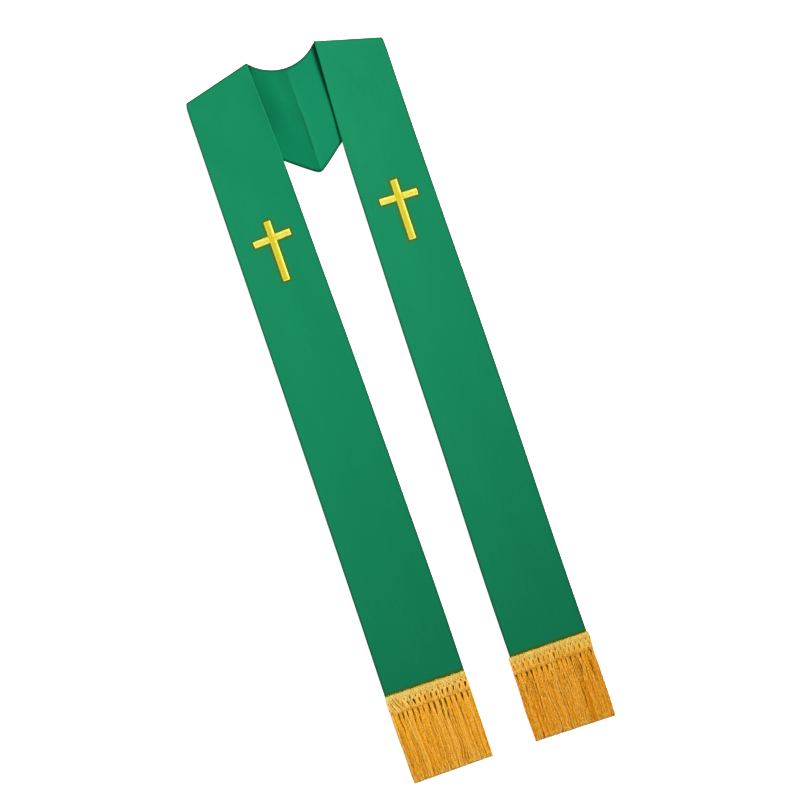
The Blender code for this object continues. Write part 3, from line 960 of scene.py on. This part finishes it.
def colour(code):
    """A linear colour from an sRGB hex value."""
    parts = [int(code[k : k + 2], 16) / 255 for k in (1, 3, 5)]
    return (*[c / 12.92 if c <= 0.04045 else ((c + 0.055) / 1.055) ** 2.4 for c in parts], 1.0)


def plug(tree, made, inputs):
    """Set a node's inputs to values, to other nodes' outputs, or to other nodes' first outputs."""
    for socket, value in inputs.items():
        if isinstance(value, bpy.types.Node):
            value = value.outputs[0]
        if isinstance(value, bpy.types.NodeSocket):
            tree.links.new(value, made.inputs[socket])
        else:
            made.inputs[socket].default_value = value


def node(tree, kind, inputs=None, **settings):
    """A node with its settings and inputs."""
    made = tree.nodes.new("ShaderNode" + kind)
    for setting, value in settings.items():
        setattr(made, setting, value)
    plug(tree, made, inputs or {})
    return made


def new_finish(name):
    """An empty material. Returns it, its node tree and its shader."""
    made = bpy.data.materials.new(name)
    made.use_nodes = True
    return made, made.node_tree, made.node_tree.nodes["Principled BSDF"]


def beside_thread(tree):
    """1 close beside the yellow thread of cross and fringe, 0 past 8 mm: where painted shade and
    reflection go.
    """
    place = node(tree, "Attribute", attribute_name="from_cross").outputs["Vector"]
    high, low = CROSS_BAR_DROP, CROSS_BAR_DROP - CROSS_HEIGHT
    bars = (
        ((0, (high + low) / 2, 0), (CROSS_UPRIGHT / 2, (high - low) / 2, FAR_OFF)),
        ((0, 0, 0), (CROSS_WIDTH / 2, FAR_OFF, CROSS_BAR / 2)),
    )
    above = node(tree, "Attribute", attribute_name="from_fringe").outputs["Fac"]
    way = node(tree, "Math", {0: above, 1: FRINGE_LOOPS}, operation="SUBTRACT")
    for middle, reach in bars:
        past = node(tree, "VectorMath", {0: place, 1: middle}, operation="SUBTRACT")
        past = node(tree, "VectorMath", {0: past}, operation="ABSOLUTE")
        past = node(tree, "VectorMath", {0: past, 1: reach}, operation="SUBTRACT")
        past = node(tree, "VectorMath", {0: past, 1: (0, 0, 0)}, operation="MAXIMUM")
        past = node(tree, "VectorMath", {0: past}, operation="LENGTH").outputs["Value"]
        way = node(tree, "Math", {0: way, 1: past}, operation="MINIMUM")
    return node(
        tree, "MapRange", {0: way, 1: 0.2, 2: 7.8, 3: 0.97, 4: 0.0}, interpolation_type="SMOOTHSTEP"
    )


WEAVE_PITCH = 1.1
# Painted shade, put on along pressed edges, folds and the seam, and beside the neck folds.
PAINTED_EDGE_SHADE = "#052A12"  # along pressed edges, folds and the seam
# A dull olive beside yellow thread: painted shade with the thread's painted reflection.
THREAD_SHADE_AND_REFLECTION = "#2E580E"


def woven_polyester(name, main, deep, bright, stitched=False, gloss="#FFFFFF"):
    """Plain-woven polyester, pressed flat: matt, with a faint bloom where it turns away.

    Its threads lie 0.35 mm apart, too fine to show, so the weave is drawn coarser. gloss tints its
    faint shine; on the linings its green is a painted reflection. A stitched cloth is painted a dull
    olive close beside yellow thread: painted shade, with the thread's colour as a painted reflection.
    """
    made, tree, shader = new_finish(name)
    lay = node(tree, "Attribute", attribute_name="lay").outputs["Vector"]
    turns = (tau / WEAVE_PITCH,) * 3
    turns = node(tree, "VectorMath", {0: lay, 1: turns}, operation="MULTIPLY")
    split = node(tree, "SeparateXYZ", {0: turns})
    weft = node(tree, "Math", {0: split}, operation="SINE")
    warp = node(tree, "Math", {0: split.outputs[1]}, operation="SINE")
    weave = node(tree, "Math", {0: weft, 1: warp}, operation="MULTIPLY")
    # Slubs: thicker stretches of yarn, about 1 mm wide and 25 mm long.
    stretched = node(tree, "VectorMath", {0: lay, 1: (0.9, 0.04, 1)}, operation="MULTIPLY")
    slubs = node(tree, "TexNoise", {"Vector": stretched, "Scale": 1.0, "Detail": 2})
    lit = node(tree, "MapRange", {0: slubs.outputs["Fac"], 1: 0.35, 2: 0.75, 3: 0.0, 4: 0.22})
    # Where the iron pressed harder, in patches about 60 mm across.
    pressed = node(tree, "VectorMath", {0: lay, 1: (0.02, 0.012, 1)}, operation="MULTIPLY")
    patches = node(tree, "TexNoise", {"Vector": pressed, "Scale": 1.0, "Detail": 3})
    # Painted shade: a deeper line along every edge, fold and seam, and beside the neck folds.
    way = node(tree, "SeparateXYZ", {0: lay}).outputs[2]
    line = node(
        tree, "MapRange", {0: way, 1: -2.0, 2: 4.4, 3: 0.95, 4: 0.0}, interpolation_type="SMOOTHSTEP"
    )
    overlays = [(patches.outputs["Fac"], main), (lit, bright), (line, PAINTED_EDGE_SHADE)]
    if stitched:
        overlays.append((beside_thread(tree), THREAD_SHADE_AND_REFLECTION))
    dyed = colour(deep)
    for share, over in overlays:
        dyed = node(tree, "Mix", {0: share, 6: dyed, 7: colour(over)}, data_type="RGBA").outputs[2]
    height = node(tree, "Math", {0: weave, 1: slubs.outputs["Fac"]}, operation="ADD")
    inputs = {
        "Base Color": dyed,
        "Normal": node(tree, "Bump", {"Height": height, "Strength": 0.35, "Distance": 0.00012}),
        "Roughness": 0.72,
        "IOR": 1.54,
        "Specular IOR Level": 0.08,
        "Specular Tint": colour(gloss),
        "Sheen Weight": 0.03,
        "Sheen Roughness": 0.45,
        "Sheen Tint": colour(bright),
    }
    plug(tree, shader, inputs)
    return made


def rayon(name, dark, main, pale, roughness=0.45, ply_pitch=4.4):
    """Shiny rayon thread, twisted from fine plies: bright where it faces the light, with painted shade
    between.

    The twist is drawn as one soft groove that winds round the thread, coarser than the real plies;
    the groove's dark colour is painted shade.
    """
    made, tree, shader = new_finish(name)
    ply = node(tree, "Attribute", attribute_name="ply").outputs["Vector"]
    tone = node(tree, "Attribute", attribute_name="tone").outputs["Fac"]
    split = node(tree, "SeparateXYZ", {0: ply})
    turn = node(tree, "Math", {0: split.outputs[2], 1: tau / ply_pitch}, operation="MULTIPLY")
    cosine = node(tree, "Math", {0: turn}, operation="COSINE")
    sine = node(tree, "Math", {0: turn}, operation="SINE")
    across = node(tree, "Math", {0: split, 1: cosine}, operation="MULTIPLY")
    round_it = {0: split.outputs[1], 1: sine, 2: across}
    over = node(tree, "Math", round_it, operation="MULTIPLY_ADD")
    lower = node(tree, "MapRange", {0: tone, 1: -0.5, 2: 0.5})
    upper = node(tree, "MapRange", {0: tone, 1: 0.5, 2: 1.3})
    # Painted shade in the groove between the plies.
    groove = node(tree, "MapRange", {0: over, 1: -1.0, 2: -0.2, 3: 0.3, 4: 0.0})
    dyed = colour(dark)
    for share, top in ((lower, main), (upper, pale), (groove, dark)):
        dyed = node(tree, "Mix", {0: share, 6: dyed, 7: colour(top)}, data_type="RGBA").outputs[2]
    inputs = {
        "Base Color": dyed,
        "Normal": node(tree, "Bump", {"Height": over, "Strength": 0.5, "Distance": 0.0001}),
        "Roughness": roughness,
        "IOR": 1.53,
        "Specular IOR Level": 0.4,
        "Specular Tint": colour(pale),
    }
    plug(tree, shader, inputs)
    return made


outer_green = woven_polyester("pressed_green_polyester", "#046F49", "#046945", "#0A7A50", stitched=True)
# The left lining is coloured darker than the right, as painted shade, and each lining's shine is tinted
# green, a painted reflection.
lining_green = {
    "left": woven_polyester(
        "green_polyester_lining_turned", "#046844", "#04623F", "#097249", gloss="#A8FFF4"
    ),
    "right": woven_polyester(
        "green_polyester_lining", "#046E49", "#046845", "#0A7950", gloss="#D8FFFA"
    ),
}
cross_yellow = rayon("yellow_satin_stitch_rayon", "#A08818", "#C4B62C", "#DEE48E", 0.42, 1.4)
fringe_gold = {
    "left": rayon("gold_fringe_rayon", "#6A3004", "#FCAC12", "#FCEA80"),
    "right": rayon("deep_gold_fringe_rayon", "#662C04", "#FCA30C", "#FCE674"),
}
# The braided cords are the same thread, coloured paler and less red.
heading_gold = {
    "left": rayon("gold_heading_rayon", "#6A3004", "#F8B232", "#EEE68A"),
    "right": rayon("deep_gold_heading_rayon", "#662C04", "#F6A924", "#F0E580"),
}

for values in zip(*HALVES.values()):
    half = Half(*values)
    outer = shell(half, 0.0, 1, outer_green, "outer_cloth")
    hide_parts(f"strip_{half.name}")
    lining = shell(half, LINING_INSET, -1, lining_green[half.name], "lining_cloth")
    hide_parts(f"lining_{half.name}")
    trim = [
        cross(half, cross_yellow),
        fringe_heading(half, heading_gold[half.name]),
        *(fringe_strands(half, layer, fringe_gold[half.name]) for layer in LAYERS),
    ]


# Floor, light and camera

FLOOR_REACH = 6.0
FLOOR_HEIGHT = -0.0006  # just clear of the cloth

# Smooth white board, lit brightly enough to look pure white.
board, tree, shader = new_finish("white_board")
plug(tree, shader, {"Base Color": colour("#F7F7F7"), "Roughness": 0.9})
plug(tree, shader, {"Emission Color": (1, 1, 1, 1), "Emission Strength": 0.8})
mesh = bpy.data.meshes.new("floor")
corners = ((-1, -1), (1, -1), (1, 1), (-1, 1))
corners = [(x * FLOOR_REACH, y * FLOOR_REACH, FLOOR_HEIGHT) for x, y in corners]
mesh.from_pydata(corners, [], [(0, 1, 2, 3)])
mesh.materials.append(board)
new_object("floor", mesh)

# One large soft spot, whose light fades towards the rim of its cone.
LAMP_PLACE, LAMP_AIM = Vector((2.0, 1.1, 2.6)), Vector((-0.51, 0.403, 0.0))
spot = bpy.data.lights.new("key_spot", "SPOT")
spot.spot_size = radians(57.6)
spot.spot_blend = 1.0
spot.shadow_soft_size = 0.9
spot.energy = 1017
lamp = new_object("key_spot", spot)
lamp.location = LAMP_PLACE
lamp.rotation_euler = (LAMP_AIM - LAMP_PLACE).to_track_quat("-Z", "Y").to_euler()

ROOM_LIGHT = 0.34
world = bpy.data.worlds.new("room")
world.use_nodes = True
background = world.node_tree.nodes["Background"]
plug(world.node_tree, background, {"Color": (1, 1, 1, 1), "Strength": ROOM_LIGHT})
scene.world = world
scene.view_settings.view_transform = "Standard"

CAMERA_PLACE = (0.0061, 0.0009, 3.844)
CAMERA_TURN = radians(-18.8)
camera_data = bpy.data.cameras.new("camera")
camera_data.lens = 100
camera_data.sensor_width = 36
camera = new_object("camera", camera_data)
camera.location = CAMERA_PLACE
camera.rotation_euler = (0, 0, CAMERA_TURN)
scene.camera = camera

bpy.context.view_layer.update()
